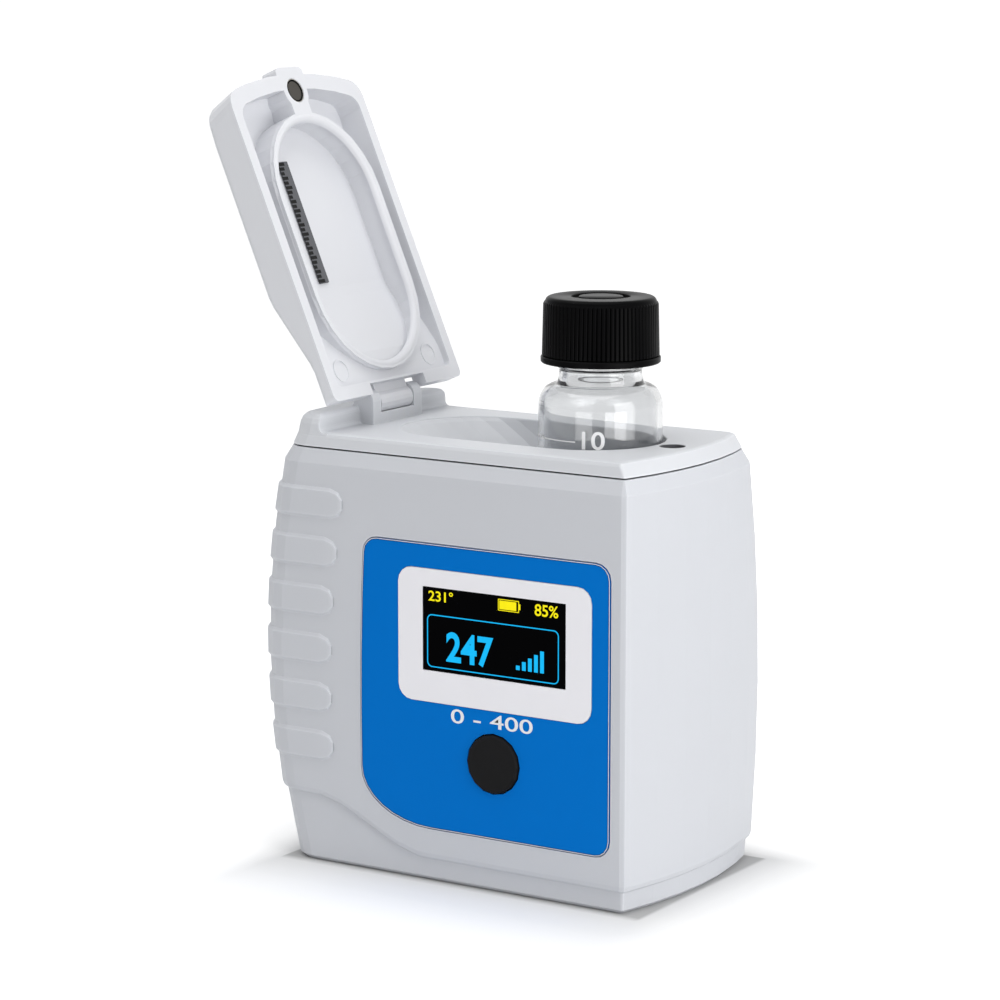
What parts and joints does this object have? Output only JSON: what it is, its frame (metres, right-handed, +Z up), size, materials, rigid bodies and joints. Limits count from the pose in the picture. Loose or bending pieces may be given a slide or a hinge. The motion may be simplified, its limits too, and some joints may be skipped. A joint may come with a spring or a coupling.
{
  "type": "water colorimeter",
  "caption": "Palm-size water colorimeter with a finger-ridged case, a hinged light-tight lid, a sample vial in a round well, a display and a push button.",
  "frame": {"origin": "middle of the underside, on the surface that it stands on, level with the vial's centre line in depth", "axes": "+X to the right along the display face, +Y from the display face to the back, +Z up"},
  "size_m": [0.1057, 0.0569, 0.1626],
  "materials": {
    "case_plastic": "fine satin moulding",
    "deck_plastic": "fine satin moulding",
    "lid_plastic": "satin moulding",
    "black_plastic": "satin",
    "button_black": "matt",
    "blue_film": "printed film, semi-gloss",
    "white_film": "printed film, semi-gloss",
    "screen_black": "polished",
    "clear_glass": "polished",
    "liner_white": "matt",
    "seal_rubber": "matt",
    "steel": "plated",
    "magnet_plate": "plated, slightly stained",
    "board_green": "solder mask",
    "battery_sleeve": "printed sleeve, bare of words",
    "lamp_clear": "clear moulding",
    "strip_grey": "printed film"
  },
  "bodies": {
    "case": {"main_housing": "case_plastic", "base_plate": "case_plastic", "base_screw_1": "steel", "base_screw_2": "steel", "base_screw_3": "steel", "base_screw_4": "steel", "top_deck": "deck_plastic", "deck_gasket": "seal_rubber", "deck_screw_1": "steel", "deck_screw_2": "steel", "deck_screw_3": "steel", "deck_screw_4": "steel", "deck_magnet": "magnet_plate", "hinge_pin": "steel", "vial_well": "black_plastic", "grip_ring": "seal_rubber", "lamp": "lamp_clear", "lamp_board": "board_green", "detector": "black_plastic", "detector_board": "board_green", "front_overlay": "blue_film", "display_bezel": "white_film", "display_window": "screen_black", "display_panel": "screen_black", "display_board": "board_green", "display_header": "black_plastic", "main_board": "board_green", "controller_chip": "black_plastic", "board_screw_1": "steel", "board_screw_2": "steel", "board_screw_3": "steel", "board_screw_4": "steel", "button_switch": "black_plastic", "battery_bay": "black_plastic", "battery_1": "battery_sleeve", "battery_2": "battery_sleeve", "battery_3": "battery_sleeve", "battery_spring_1": "steel", "battery_spring_2": "steel", "battery_spring_3": "steel", "battery_contact_1": "steel", "battery_contact_2": "steel", "battery_contact_3": "steel"},
    "lid": {"lid": "lid_plastic", "lid_magnet": "magnet_plate", "lid_strip": "strip_grey"},
    "vial": {"vial_glass": "clear_glass"},
    "liner": {"cap_liner": "liner_white"},
    "cap": {"vial_cap": "black_plastic"},
    "button": {"power_button": "button_black"},
    "battery_door": {"battery_door": "case_plastic"}
  },
  "joints": [
    {"name": "lid_hinge", "type": "hinge", "parent": "case", "child": "lid", "pos_m": [-0.0343, 0, 0.09417], "axis": [0, 1, 0], "range_deg": [0, 113.25]},
    {"name": "vial_slide", "type": "slide", "parent": "case", "child": "vial", "axis": [0, 0, 1], "range_m": [-0.03325, 0.0275]},
    {"name": "cap_lift", "type": "slide", "parent": "vial", "child": "liner", "axis": [0, 0, 1], "range_m": [0, 0.0042]},
    {"name": "cap_turn", "type": "hinge", "parent": "liner", "child": "cap", "pos_m": [0.0174, 0, 0.105], "axis": [0, 0, 1], "range_deg": [0, 475]},
    {"name": "button_press", "type": "slide", "parent": "case", "child": "button", "axis": [0, 1, 0], "range_m": [0, 0.0005], "stiffness_N_per_m": 2000},
    {"name": "battery_door_tilt", "type": "hinge", "parent": "case", "child": "battery_door", "pos_m": [-0.0129, 0.02836, 0.01505], "axis": [-1, 0, 0], "range_deg": [0, 75]}
  ],
  "couplings": [
    {"joint": "vial_slide", "follows": "lid_hinge", "m_per_rad": -0.01682},
    {"joint": "cap_lift", "follows": "cap_turn", "m_per_rad": 0.00050532}
  ]
}
